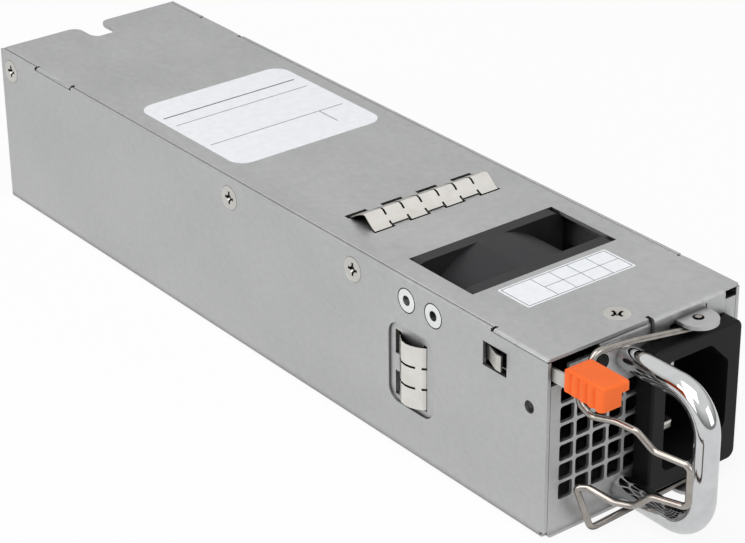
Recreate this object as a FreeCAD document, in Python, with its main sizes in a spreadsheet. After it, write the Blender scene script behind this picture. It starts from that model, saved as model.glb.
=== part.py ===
"""Hot swap server power supply: a folded steel case with a 40 mm fan, a mains inlet, a chromed pull
handle, a swinging cord bail and a sprung side latch with a thumb tab.

Axes: +X to the right seen from the front, +Y from the front panel to the rear, +Z up. Sub-parts are
drawn with Y measured from the front panel's outer face and Z from the base. Each is then placed half a
case length forward, so that the origin is at the middle of the base.
"""
import FreeCAD
import Part

import math
import operator
import os

Vector = FreeCAD.Vector
doc = FreeCAD.newDocument("power_supply")
sheet = doc.addObject("Spreadsheet::Sheet", "Dims")

# ------------------------------------------------------------------ driving dimensions


class Size:
    """A number in millimetres together with the spreadsheet expression that gives it."""

    def __init__(self, value, text):
        self.value = value
        self.text = text

    def __add__(self, other):
        return combined(self, "+", other)

    def __radd__(self, other):
        return combined(other, "+", self)

    def __sub__(self, other):
        return combined(self, "-", other)

    def __rsub__(self, other):
        return combined(other, "-", self)

    def __mul__(self, other):
        return combined(self, "*", other)

    def __rmul__(self, other):
        return combined(other, "*", self)

    def __truediv__(self, other):
        return combined(self, "/", other)

    def __neg__(self):
        return combined(0, "-", self)


OPERATIONS = {"+": operator.add, "-": operator.sub, "*": operator.mul, "/": operator.truediv}


def number(size):
    return size.value if isinstance(size, Size) else float(size)


def text(size):
    return size.text if isinstance(size, Size) else f"{size}"


def combined(left, sign, right):
    value = OPERATIONS[sign](number(left), number(right))
    return Size(value, f"({text(left)} {sign} ({text(right)}))")


def dim(alias, value, note):
    """Write one driving dimension on the sheet and return it as a Size."""
    row = dim.row
    dim.row += 1
    sheet.set(f"A{row}", note)
    sheet.set(f"B{row}", str(value))
    sheet.setAlias(f"B{row}", alias)
    return Size(float(value), f"Dims.{alias}")


dim.row = 1

case_width = dim("case_width", 50.5, "outside width of the case")
case_height = dim("case_height", 40, "one rack unit less clearance")
case_length = dim("case_length", 200, "front panel to rear edge")
steel = dim("steel", 0.8, "thickness of the case sheet")
seam_gap = dim("seam_gap", 0.1, "wall to cover flange")
flange_drop = dim("flange_drop", 9.5, "depth of the cover's side flanges")
screw_level = dim("screw_level", 35.2, "height of the side screws")
fan_size = dim("fan_size", 40, "fan frame, square")
fan_depth = dim("fan_depth", 20, "fan frame, front to rear")
fan_front = dim("fan_front", 29.05, "front panel to fan")
cutout_width = dim("cutout_width", 38.4, "fan cut-out in lid and base")
vent_hole = dim("vent_hole", 3.6, "square vent hole")
vent_pitch = dim("vent_pitch", 4.27, "vent hole to vent hole")
vent_left = dim("vent_left", -21.8, "left edge of the vent grid")
vent_bottom = dim("vent_bottom", 7.9, "lower edge of the vent grid")
handle_rod = dim("handle_rod", 2.6, "radius of the handle rod")
handle_side = dim("handle_side", -5.1, "handle plane from the middle")
handle_low = dim("handle_low", 4.6, "lower leg above the base")
handle_high = dim("handle_high", 34.0, "upper leg above the base")
handle_reach = dim("handle_reach", 22.4, "grip ahead of the panel")
handle_bend = dim("handle_bend", 8, "bend radius of the handle")
bail_wire = dim("bail_wire", 0.7, "radius of the bail wire")
pivot_side = dim("pivot_side", 11.1, "bail pivot from the middle")
pivot_reach = dim("pivot_reach", 2.9, "bail pivot ahead of the panel")
ear_radius = dim("ear_radius", 4.2, "rounded end of a bail ear")
ear_hole = dim("ear_hole", 1.2, "radius of the hole in a bail ear")
ear_level = dim("ear_level", 38.1, "top of the upper ear")
inlet_width = dim("inlet_width", 24, "inlet flange across")
inlet_tall = dim("inlet_tall", 31.8, "inlet flange, top to bottom")
inlet_side = dim("inlet_side", 10.1, "inlet centre from the middle")
inlet_level = dim("inlet_level", 19, "inlet centre above the base")
inlet_proud = dim("inlet_proud", 4.5, "inlet flange ahead of the panel")
blade_gauge = dim("blade_gauge", 0.5, "latch spring strip")
finger_gauge = dim("finger_gauge", 0.2, "finger strip gauge")
board_level = dim("board_level", 4.2, "underside of the main board")
board_gauge = dim("board_gauge", 1.6, "main board")
board_front = dim("board_front", 52, "front panel to main board")
board_rear = dim("board_rear", 197.5, "front panel to the card edge")
board_width = dim("board_width", 45.6, "main board across")

half_width = case_width / 2
wall_inside = half_width - steel
lid_under = case_height - steel
wall_top = lid_under
flange_outer = wall_inside - seam_gap
flange_inner = flange_outer - steel
board_top = board_level + board_gauge

X_AXIS, Y_AXIS, Z_AXIS = Vector(1, 0, 0), Vector(0, 1, 0), Vector(0, 0, 1)

# ------------------------------------------------------------------ drawing tools

PLANE_ROTATION = {
    "XY": FreeCAD.Rotation(),
    "XZ": FreeCAD.Rotation(X_AXIS, 90),
    "YZ": FreeCAD.Rotation(Vector(1, 1, 1), 120),
}
PLANE_NORMAL = {"XY": Z_AXIS, "XZ": Y_AXIS, "YZ": X_AXIS}
PLANE_OFFSET = {"XY": "z", "XZ": "y", "YZ": "x"}


def put(feature, **properties):
    """Set properties, each from the sheet when it is a Size."""
    for name, size in properties.items():
        if isinstance(size, Size):
            feature.setExpression(name, size.text)
        else:
            setattr(feature, name, size)


def place(feature, x=0, y=0, z=0, rotation=None):
    feature.Placement = FreeCAD.Placement(Vector(number(x), number(y), number(z)),
                                          rotation or FreeCAD.Rotation())
    for axis, size in (("x", x), ("y", y), ("z", z)):
        if isinstance(size, Size):
            feature.setExpression(f"Placement.Base.{axis}", size.text)
    return feature


def box(name, x, y, z):
    """A block between two corners: each of x, y and z is a pair (low, high)."""
    block = doc.addObject("Part::Box", name)
    put(block, Length=x[1] - x[0], Width=y[1] - y[0], Height=z[1] - z[0])
    return place(block, x[0], y[0], z[0])


AXIS_ROTATION = {
    "X": FreeCAD.Rotation(Y_AXIS, 90),
    "-X": FreeCAD.Rotation(Y_AXIS, -90),
    "Y": FreeCAD.Rotation(X_AXIS, -90),
    "-Y": FreeCAD.Rotation(X_AXIS, 90),
    "Z": FreeCAD.Rotation(),
    "-Z": FreeCAD.Rotation(X_AXIS, 180),
}


def rod(name, start, axis, radius, height):
    """A cylinder that starts at a point and runs along an axis."""
    cylinder = doc.addObject("Part::Cylinder", name)
    put(cylinder, Radius=radius, Height=height)
    return place(cylinder, *start, rotation=AXIS_ROTATION[axis])


def cone(name, start, axis, radius, far_radius, height):
    """A cone that starts at a point, with its first radius there."""
    taper = doc.addObject("Part::Cone", name)
    put(taper, Radius1=radius, Radius2=far_radius, Height=height)
    return place(taper, *start, rotation=AXIS_ROTATION[axis])


def fuse(name, *shapes):
    union = doc.addObject("Part::MultiFuse", name)
    union.Shapes = list(shapes)
    union.Refine = True
    return union


def group(name, *shapes):
    """Identical separate solids kept in one node."""
    compound = doc.addObject("Part::Compound", name)
    compound.Links = list(shapes)
    return compound


def cut(name, base, *tools):
    result = doc.addObject("Part::Cut", name)
    result.Base = base
    result.Tool = tools[0] if len(tools) == 1 else group(name + "_tools", *tools)
    result.Refine = True
    return result


def rounded(name, base, radius, chosen):
    """Fillet the edges of base for which chosen(edge) is true."""
    doc.recompute()
    fillet = doc.addObject("Part::Fillet", name)
    fillet.Base = base
    edges = [(n + 1, number(radius), number(radius)) for n,
             edge in enumerate(base.Shape.Edges) if chosen(edge)]
    fillet.Edges = edges
    return fillet


def runs_along(edge, axis):
    if not isinstance(edge.Curve, Part.Line):
        return False
    return abs(edge.tangentAt(edge.FirstParameter).dot(axis)) > 0.999


def middle(edge):
    return edge.CenterOfMass


class Outline:
    """A fully constrained sketch on one of the three main planes."""

    def __init__(self, name, plane, offset=0):
        self.sketch = doc.addObject("Sketcher::SketchObject", name)
        self.plane = plane
        place(self.sketch, rotation=PLANE_ROTATION[plane], **{PLANE_OFFSET[plane]: offset})

    def fix(self, kind, *args):
        """Add a constraint whose last argument is its size."""
        size = args[-1]
        index = self.sketch.addConstraint(constraint(kind, *args[:-1], number(size)))
        if isinstance(size, Size):
            self.sketch.setExpression(f"Constraints[{index}]", size.text)

    def pin(self, geometry, end, point):
        self.fix("DistanceX", -1, 1, geometry, end, point[0])
        self.fix("DistanceY", -1, 1, geometry, end, point[1])

    def polygon(self, *points):
        """A closed chain of straight lines through the points."""
        flat = [Vector(number(a), number(b), 0) for a, b in points]
        count = len(points)
        lines = [self.sketch.addGeometry(Part.LineSegment(flat[n], flat[(n + 1) % count]), False)
                 for n in range(count)]
        for n, line in enumerate(lines):
            self.sketch.addConstraint(constraint("Coincident", line, 2, lines[(n + 1) % count], 1))
            self.pin(line, 1, points[n])
        return self

    def circle(self, point, radius):
        centre = Vector(number(point[0]), number(point[1]), 0)
        ring = self.sketch.addGeometry(Part.Circle(centre, Z_AXIS, number(radius)), False)
        self.fix("Radius", ring, radius)
        self.pin(ring, 3, point)
        return self

    def rounded_box(self, across, up, radius):
        """A rectangle between (low, high) pairs, with quarter-round corners."""
        low_a, high_a = number(across[0]), number(across[1])
        low_b, high_b = number(up[0]), number(up[1])
        r = number(radius)
        centres = [(low_a + r, low_b + r), (high_a - r, low_b + r), (high_a - r, high_b - r),
                   (low_a + r, high_b - r)]
        arcs = []
        for n, (a, b) in enumerate(centres):
            start = math.pi * (1 + n / 2)
            ring = Part.Circle(Vector(a, b, 0), Z_AXIS, r)
            arcs.append(self.sketch.addGeometry(Part.ArcOfCircle(ring, start, start + math.pi / 2),
                                                False))
        for n, arc in enumerate(arcs):
            following = arcs[(n + 1) % 4]
            first = self.sketch.getPoint(arc, 2)
            last = self.sketch.getPoint(following, 1)
            line = self.sketch.addGeometry(Part.LineSegment(first, last), False)
            self.sketch.addConstraint(constraint("Tangent", arc, 2, line, 1))
            self.sketch.addConstraint(constraint("Tangent", line, 2, following, 1))
            self.sketch.addConstraint(constraint("Vertical" if n % 2 else "Horizontal", line))
            if n:
                self.sketch.addConstraint(constraint("Equal", arcs[0], arc))
        self.fix("Radius", arcs[0], radius)
        self.pin(arcs[0], 3, (across[0] + radius, up[0] + radius))
        self.pin(arcs[2], 3, (across[1] - radius, up[1] - radius))
        return self

    def extrude(self, name, length):
        """A solid from this outline, length long along the plane's axis."""
        solid = doc.addObject("Part::Extrusion", name)
        solid.Base = self.sketch
        solid.DirMode = "Custom"
        solid.Dir = PLANE_NORMAL[self.plane]
        solid.Solid = True
        solid.FaceMakerClass = "Part::FaceMakerBullseye"
        put(solid, LengthFwd=length)
        return solid


def constraint(*args):
    import Sketcher
    return Sketcher.Constraint(*args)


SUB_PARTS = []


def sub_part(feature, label):
    """Name a finished sub-part and move it so that the origin is under the middle of the case."""
    feature.Label = label
    place(feature, y=-case_length / 2)
    SUB_PARTS.append(feature)
    return feature


# ------------------------------------------------------------------ bent rods and wires

def turned(x_direction, z_direction):
    """The rotation whose local X and Z axes point the given ways."""
    y_direction = z_direction.cross(x_direction)
    matrix = FreeCAD.Matrix(x_direction.x, y_direction.x, z_direction.x, 0,
                            x_direction.y, y_direction.y, z_direction.y, 0,
                            x_direction.z, y_direction.z, z_direction.z, 0,
                            0, 0, 0, 1)
    return FreeCAD.Placement(matrix).Rotation


def straight_run(name, start, end, radius):
    """A cylinder between two points."""
    way = end - start
    run = doc.addObject("Part::Cylinder", name)
    put(run, Radius=radius, Height=way.Length)
    run.Placement = FreeCAD.Placement(start, FreeCAD.Rotation(Z_AXIS, way))
    return run


def elbow(name, centre, enter, leave, bend, radius):
    """A part of a torus from one tangent point to the next."""
    first = (enter - centre).normalize()
    last = (leave - centre).normalize()
    axis = first.cross(last).normalize()
    ring = doc.addObject("Part::Torus", name)
    put(ring, Radius1=bend, Radius2=radius, Angle3=math.degrees(first.getAngle(last)))
    ring.Placement = FreeCAD.Placement(centre, turned(first, axis))
    return ring


def bent_rod(name, points, radii, radius):
    """A round rod or wire: straight runs joined by tangent elbows of the given bend radii."""
    corners = [Vector(*[number(c) for c in point]) for point in points]
    pieces = []
    start = corners[0]
    for n in range(1, len(corners) - 1):
        before = (corners[n] - corners[n - 1]).normalize()
        after = (corners[n + 1] - corners[n]).normalize()
        turn = before.getAngle(after)
        bend = number(radii[n - 1])
        reach = bend * math.tan(turn / 2)
        enter = corners[n] - before * reach
        leave = corners[n] + after * reach
        if (enter - start).dot(before) < 0:
            raise ValueError(f"{name}: the bends at corners {n - 1} and {n} overlap")
        centre = corners[n] + (after - before).normalize() * (bend / math.cos(turn / 2))
        if (enter - start).Length > 0.02:
            pieces.append(straight_run(f"{name}_run_{n}", start, enter, radius))
        pieces.append(elbow(f"{name}_elbow_{n}", centre, enter, leave, radii[n - 1], radius))
        start = leave
    pieces.append(straight_run(f"{name}_run_end", start, corners[-1], radius))
    return fuse(name, *pieces)


# ------------------------------------------------------------------ chassis pan

SIDE_SCREWS = (59.9, 103.7, 195.7)
RIVET_PLACES = (33.9, 42.3)
SCREW_HEAD = 2.75
SCREW_SHANK = 1.45
RIVET_HEAD = 2.75
RECESS_DEPTH = 0.5
FINGER_PITCH = 4.75
SLOT_SPARE = 0.4
SIDE_STRIP_LOW = 12.4
SIDE_STRIP_MIDDLE = 40.75
SIDE_SLOTS = [(SIDE_STRIP_LOW - SLOT_SPARE + 2 * FINGER_PITCH * n,
               SIDE_STRIP_LOW + SLOT_SPARE + FINGER_PITCH * (2 * n + 1)) for n in range(2)]


def side_recess(name, low_x, depth):
    """The pressed recess that seats the side finger strip."""
    outline = Outline(name + "_outline", "YZ", low_x)
    return outline.rounded_box((33.8, 48.1), (10.7, 28.9), 3).extrude(name, depth)


def bail_ear(name, level, root):
    """A D-shaped ear that stands ahead of the front edge, with the pivot hole in it."""
    outline = Outline(name + "_outline", "XY", level)
    outline.polygon((pivot_side - ear_radius, root), (pivot_side - ear_radius, -pivot_reach),
                    (pivot_side + ear_radius, -pivot_reach), (pivot_side + ear_radius, root))
    plate = outline.extrude(name + "_plate", steel)
    nose = rod(name + "_nose", (pivot_side, -pivot_reach, level), "Z", ear_radius, steel)
    hole = rod(name + "_hole", (pivot_side, -pivot_reach, level - 1), "Z", ear_hole, steel + 2)
    behind = box(name + "_behind", (pivot_side - 5, pivot_side + 5), (root, 5), (level - 1, level + 2))
    return cut(name, fuse(name + "_blank", plate, nose), hole, behind)


def countersinks(name, side, places):
    """Countersunk screw seats in a side wall; side is -1 on the left and 1 on the right."""
    axis = "X" if side < 0 else "-X"
    return [cone(f"{name}_{n}", (half_width * side, y, screw_level), axis, SCREW_HEAD + 0.12,
                 SCREW_SHANK + 0.2, steel)
            for n, y in enumerate(places)]


def chassis_pan():
    outline = Outline("pan_outline", "XZ")
    outline.polygon((-half_width, 0), (half_width, 0), (half_width, wall_top),
                    (wall_inside, wall_top), (wall_inside, steel), (-wall_inside, steel),
                    (-wall_inside, wall_top), (-half_width, wall_top))
    folded = rounded("pan_folds", outline.extrude("pan_blank", case_length), 1.0,
                     lambda e: runs_along(e, Y_AXIS) and middle(e).z < 0.01)
    solid = fuse("pan_pressed", folded, bail_ear("lower_ear", 0, 0.5),
                 side_recess("recess_inside", -wall_inside, RECESS_DEPTH))
    tools = [
        side_recess("recess_outside", -half_width - 1, 1 + RECESS_DEPTH),
        box("pan_fan_mouth", (-cutout_width / 2, cutout_width / 2),
            (fan_front, fan_front + fan_depth), (-1, 2)),
        box("latch_window", (-half_width - 1, -half_width + 1), (11.7, 18.7), (31, 36.3)),
        rod("panel_fixing_hole", (-half_width - 1, 5, 27.7), "X", 1.35, 2),
        box("corner_relief", (-half_width - 1, -half_width + 1.6), (-1, 1.2), (-1, 1.5)),
        box("right_corner_relief", (half_width - 1.6, half_width + 1), (-1, 1.2), (-1, 1.5)),
    ]
    for n, (low, high) in enumerate(SIDE_SLOTS):
        tools.append(box(f"side_slot_rear_{n}", (-half_width - 1, -half_width + 2), (44.5, 46.4),
                         (low, high)))
        tools.append(box(f"side_slot_front_{n}", (-half_width - 1, -half_width + 2), (36.3, 37.35),
                         (low, high)))
    tools += countersinks("seat_left", -1, SIDE_SCREWS)
    tools += countersinks("seat_right", 1, SIDE_SCREWS)
    tools += [rod(f"rivet_seat_{y}", (-half_width - 1, y, screw_level), "X", RIVET_HEAD, 3)
              for y in RIVET_PLACES]
    sub_part(cut("pan", solid, *tools), "chassis_pan")


# ------------------------------------------------------------------ top cover

TAB_SPANS = ((-1, 0, 15.7), (1, 0, 15.7), (-1, 168.8, 183.4), (1, 169.8, 185.6))
TOP_STRIP_LEFT = -16.95
TOP_STRIP_FRONT = 62.85
TOP_SLOTS = [(TOP_STRIP_LEFT - SLOT_SPARE + 2 * FINGER_PITCH * n,
              TOP_STRIP_LEFT + SLOT_SPARE + FINGER_PITCH * (2 * n + 1)) for n in range(4)]
TOP_SCREW = (-2.6, 5.5)
LIP_LEFT, LIP_RIGHT = 1.4, 20.6


def top_cover():
    outline = Outline("cover_outline", "XZ")
    low = case_height - flange_drop
    outline.polygon((-flange_outer, low), (-flange_inner, low), (-flange_inner, lid_under),
                    (flange_inner, lid_under), (flange_inner, low), (flange_outer, low),
                    (flange_outer, case_height), (-flange_outer, case_height))
    folded = rounded("cover_folds", outline.extrude("cover_blank", case_length - 0.3), 1.0,
                     lambda e: runs_along(e, Y_AXIS) and middle(e).z > case_height.value - 0.01)
    added = []
    for n, (side, front, rear) in enumerate(TAB_SPANS):
        inner, outer = flange_inner * side, half_width * side
        span = (inner, outer) if side > 0 else (outer, inner)
        added.append(box(f"wall_tab_{n}", span, (front, rear), (lid_under, case_height)))
    lip_profile = Outline("lip_outline", "YZ", LIP_LEFT)
    lip_profile.polygon((-steel, 35.2), (0, 35.2), (0, lid_under), (1, lid_under), (1, case_height),
                        (-steel, case_height))
    lip = rounded("front_lip", lip_profile.extrude("lip_blank", LIP_RIGHT - LIP_LEFT), 0.75,
                  lambda e: runs_along(e, X_AXIS) and middle(e).z > 39.9 and middle(e).y < -0.5)
    added += [lip, bail_ear("upper_ear", ear_level - steel, -0.3)]
    solid = fuse("cover_pressed", folded, *added)
    notch = fuse("rear_notch", box("notch_run", (-3.7, 2.7), (194, 201), (39, 41)),
                 rod("notch_end", (-0.5, 194, 39), "Z", 3.2, 2))
    tools = [
        notch,
        box("lid_fan_mouth", (-cutout_width / 2, cutout_width / 2),
            (fan_front, fan_front + fan_depth), (38, 41)),
        cone("top_screw_seat", (*TOP_SCREW, case_height), "-Z", SCREW_HEAD, SCREW_SHANK + 0.1, steel),
        box("left_flange_front", (-half_width, -flange_inner + 1), (-1, 52), (20, lid_under)),
        box("right_flange_front", (flange_inner - 1, half_width), (-1, 24), (20, lid_under)),
        box("ear_window", (pivot_side - 5.6, pivot_side + ear_radius + 0.6), (-2, 0.3),
            (36.4, ear_level - steel)),
        box("ear_slit", (pivot_side + ear_radius - 0.1, pivot_side + ear_radius + 0.2), (-2, 0.3),
            (ear_level - 0.1, ear_level + 0.8)),
        box("lip_relief", (LIP_LEFT - 0.9, LIP_LEFT), (-1, 1.1), (38, 41)),
    ]
    for side in (-1, 1):
        reliefs = [(span[1] - 0.1, span[2] + 0.8) for span in TAB_SPANS if span[0] == side]
        for n, (front, rear) in enumerate(reliefs):
            inner, outer = (half_width - 1.6) * side, (half_width + 1) * side
            span = (inner, outer) if side > 0 else (outer, inner)
            ends = ((rear - 0.8, rear),) if front < 0 else ((front - 0.8, front), (rear - 0.8, rear))
            for end, (low_y, high_y) in enumerate(ends):
                tools.append(box(f"tab_relief_{side + 1}_{n}_{end}", span, (low_y, high_y), (38.9, 41)))
    for n, across in enumerate(TOP_SLOTS):
        tools.append(box(f"finger_slot_rear_{n}", across, (71.3, 72.85), (38, 41)))
        tools.append(box(f"finger_slot_front_{n}", across, (62.4, 63.4), (38, 41)))
    for side in (-1, 1):
        axis = "X" if side < 0 else "-X"
        tools += [rod(f"cover_thread_{side + 1}_{n}", (half_width * side, y, screw_level), axis,
                      SCREW_SHANK, 3)
                  for n, y in enumerate(SIDE_SCREWS)]
    sub_part(cut("cover", solid, *tools), "top_cover")


# ------------------------------------------------------------------ front and rear panels

VENT_COLUMNS = 5
VENT_ROWS = 5
PANEL_TOP = 39.2
LAMP_PLACE = (-11.5, 34.6)


def vent_grid(name, start_y, left, bottom, columns, rows):
    """Square vent holes with rounded corners, one tool per row."""
    tools = []
    for row in range(rows):
        low = bottom + vent_pitch * row
        outline = Outline(f"{name}_{row}_outline", "XZ", start_y)
        for column in range(columns):
            edge = left + vent_pitch * column
            outline.rounded_box((edge, edge + vent_hole), (low, low + vent_hole), 0.6)
        tools.append(outline.extrude(f"{name}_{row}", 4))
    return tools


def front_panel():
    outline = Outline("panel_outline", "YZ", -flange_outer)
    outline.polygon((0, steel), (steel, steel), (steel, PANEL_TOP - steel), (9, PANEL_TOP - steel),
                    (9, PANEL_TOP), (0, PANEL_TOP))
    sheet_metal = rounded("panel_folds", outline.extrude("panel_blank", flange_outer * 2), 1.2,
                          lambda e: runs_along(e, X_AXIS) and middle(e).y < 0.1
                          and middle(e).z > PANEL_TOP - 0.01)
    ears = [box("panel_ear_left", (-flange_outer, -flange_inner), (0.4, 9), (3, 30)),
            box("panel_ear_right", (flange_inner, flange_outer), (0.4, 9), (3, 30))]
    solid = fuse("panel_pressed", sheet_metal, *ears)
    tools = vent_grid("vent_row", -1, vent_left, vent_bottom, VENT_COLUMNS, VENT_ROWS)
    tools += vent_grid("vent_upper_row", -1, vent_left, vent_bottom + vent_pitch * VENT_ROWS, 2, 1)
    tools += [
        Outline("inlet_mouth_outline", "XZ", -1).rounded_box((0.4, 19.8), (5.3, 32.7), 2.5).extrude(
            "inlet_mouth", 4),
        box("blade_slot", (-flange_outer - 1, -19.8), (-1, 12), (33.9, 40)),
        box("blade_notch", (-20, -12), (-1, 12), (37.2, 40)),
        box("corner_notch", (21, half_width), (-1, 12), (37.4, 40)),
        box("inlet_body_room", (0.4, 19.8), (2, 12), (37.2, 37.9)),
        rod("panel_lamp_hole", (LAMP_PLACE[0], -1, LAMP_PLACE[1]), "Y", 1.9, 4),
        rod("panel_side_hole", (-half_width, 5, 27.7), "X", 1.35, 3),
        rod("panel_top_thread", (*TOP_SCREW, 30), "Z", SCREW_SHANK, 10),
    ]
    tools += [rod(f"handle_hole_{level.text[-4:]}", (handle_side, -1, level), "Y", 1.6, 4)
              for level in (handle_low, handle_high)]
    sub_part(cut("panel", solid, *tools), "front_panel")


def rear_panel():
    plate = box("rear_plate", (-flange_inner + 0.1, flange_inner - 0.1),
                (case_length - 1.4, case_length - 0.6), (steel, lid_under - 0.1))
    lips = [box(f"rear_lip_{side + 1}", (inner, outer), (case_length - 8, case_length - 1), (4, 29))
            for side, inner, outer in ((-1, -wall_inside, -flange_inner + 0.15),
                                       (1, flange_inner - 0.15, wall_inside))]
    wide = [box(f"rear_wing_{side + 1}", (inner, outer), (case_length - 1.4, case_length - 0.6),
                (4, 29))
            for side, inner, outer in ((-1, -wall_inside, -flange_inner + 0.15),
                                       (1, flange_inner - 0.15, wall_inside))]
    tools = vent_grid("rear_vent_row", case_length - 3, -20.5, 19.5, 10, 4)
    tools.append(box("card_mouth", (-21.5, 21.5), (case_length - 3, case_length + 1), (1.6, 14.6)))
    tools.append(box("notch_clear", (-4.4, 3.4), (case_length - 3, case_length + 1), (36.9, 41)))
    sub_part(cut("rear", fuse("rear_pressed", plate, *lips, *wide), *tools), "rear_panel")


# ------------------------------------------------------------------ mains inlet

CAVITY_SIDE = (1.6, 18.6)
CAVITY_UP = (7.2, 31.7)
CAVITY_CHAMFER = 5.0
CAVITY_FLOOR = 11.5
PIN_TIP = 1.6


def inlet():
    left, right = inlet_side - inlet_width / 2, inlet_side + inlet_width / 2
    low, high = inlet_level - inlet_tall / 2, inlet_level + inlet_tall / 2
    flange_outline = Outline("inlet_flange_outline", "XZ", -inlet_proud)
    flange_outline.rounded_box((left, right), (low, high), 2)
    flange = rounded("inlet_flange", flange_outline.extrude("inlet_flange_blank", inlet_proud), 0.6,
                     lambda e: middle(e).y < -inlet_proud.value + 0.01)
    barrel_outline = Outline("inlet_barrel_outline", "XZ", -1)
    barrel = barrel_outline.rounded_box((0.6, 19.6), (5.5, 32.5), 2.3).extrude("inlet_barrel", 16)
    cavity = Outline("inlet_cavity_outline", "XZ", -inlet_proud - 1)
    (a, b), (c, d), k = CAVITY_SIDE, CAVITY_UP, CAVITY_CHAMFER
    cavity.polygon((a, c), (b - k, c), (b, c + k), (b, d - k), (b - k, d), (a, d))
    room = cavity.extrude("inlet_cavity_blank", inlet_proud + 1 + CAVITY_FLOOR)
    room = rounded("inlet_cavity", room, 1.8, lambda e: runs_along(e, Y_AXIS))
    middle_z = (c + d) / 2
    blades = [("line", 8.1, middle_z + 7), ("neutral", 8.1, middle_z - 7), ("earth", 12.1, middle_z)]
    slots = [box(f"{name}_slot", (x - 2, x + 2), (5, 16), (z - 1, z + 1)) for name, x, z in blades]
    sub_part(cut("inlet_body", fuse("inlet_solid", flange, barrel), room, *slots), "inlet_housing")
    pins = []
    for name, x, z in blades:
        tip = PIN_TIP - (2.0 if name == "earth" else 0)
        blank = box(f"{name}_blank", (x - 2, x + 2), (tip, 21), (z - 1, z + 1))
        pins.append(rounded(f"{name}_blade", blank, 0.6, lambda e, tip=tip: middle(e).y < tip + 0.01))
    sub_part(group("inlet_blades", *pins), "inlet_pins")


# ------------------------------------------------------------------ handle

HANDLE_THREAD_DEPTH = 9


def pull_handle():
    """A rod bent to a U in a vertical plane, with its ends tapped for screws from behind the panel."""
    path = [(handle_side, 0, handle_low), (handle_side, -handle_reach, handle_low),
            (handle_side, -handle_reach, handle_high), (handle_side, 0, handle_high)]
    blank = bent_rod("handle_blank", path, (handle_bend, handle_bend), handle_rod)
    taps = [rod(f"handle_tap_{n}", (handle_side, 1, level), "-Y", SCREW_SHANK, HANDLE_THREAD_DEPTH + 1)
            for n, level in enumerate((handle_low, handle_high))]
    sub_part(cut("handle", blank, *taps), "pull_handle")
    screws = []
    for n, level in enumerate((handle_low, handle_high)):
        head = rod(f"handle_screw_head_{n}", (handle_side, steel, level), "Y", 2.6, 1.8)
        shank = rod(f"handle_screw_shank_{n}", (handle_side, steel + 0.5, level), "-Y", SCREW_SHANK,
                    7.5)
        drive = rod(f"handle_screw_drive_{n}", (handle_side, 2.0, level), "Y", 1.1, 2)
        screws.append(cut(f"handle_screw_{n}", fuse(f"handle_screw_blank_{n}", head, shank), drive))
    sub_part(group("handle_screw_pair", *screws), "handle_screws")


# ------------------------------------------------------------------ cord bail

BAIL_MIDDLE = 19.6
BAIL_LOOP = ((-18.3, -4.8, 27.5, 2.5), (-17.0, -10.4, 28.5, 5.0), (-15.7, -14.6, 27.8, 2.5),
             (-14.4, -17.9, 24.6, 2.5), (-12.3, -25.5, 24.1, 1.5))


def cord_bail():
    """A wire bail: two arms from the ears, and a waisted loop that holds the cord behind its plug."""
    x, y = number(pivot_side), -number(pivot_reach)
    ear_top = number(ear_level)
    lower_ear_top = number(steel) + number(bail_wire) + 0.1
    corners = [(x, y, ear_top + 0.2, 0), (x, y, 35.85, 0.9), (-5.0, -2.5, 38.35, 12),
               (-15.6, -2.1, 39.25, 2.5), (-19.6, -2.3, 30.2, 2.5)]
    corners += list(BAIL_LOOP)
    corners += [(a, b, 2 * BAIL_MIDDLE - c, bend) for a, b, c, bend in reversed(BAIL_LOOP)]
    corners += [(-19.8, -2.9, 11.4, 0.7), (-16.1, -3.4, 0.85, 2.0), (x, y, lower_ear_top, 0.75),
                (x, y, 0.1, 0)]
    path = [(a, b, c) for a, b, c, bend in corners]
    sub_part(bent_rod("bail", path, [bend for a, b, c, bend in corners[1:-1]], bail_wire), "cord_bail")


# ------------------------------------------------------------------ side latch

BLADE_LOW, BLADE_HIGH = 32.0, 37.4
NECK_UP = (35.3, 38.2)
BLADE_PIVOT = 30.6
HOOK_RISE = 1.75
TAB_SIDE = (-25.1, -17.9)
TAB_REACH = (-14.6, -3.7)
TAB_UP = (34.9, 39.8)
TAB_PLATE = 2.1
TAB_BLOCK = 5.4
RIB_RADIUS = 1.15


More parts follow.
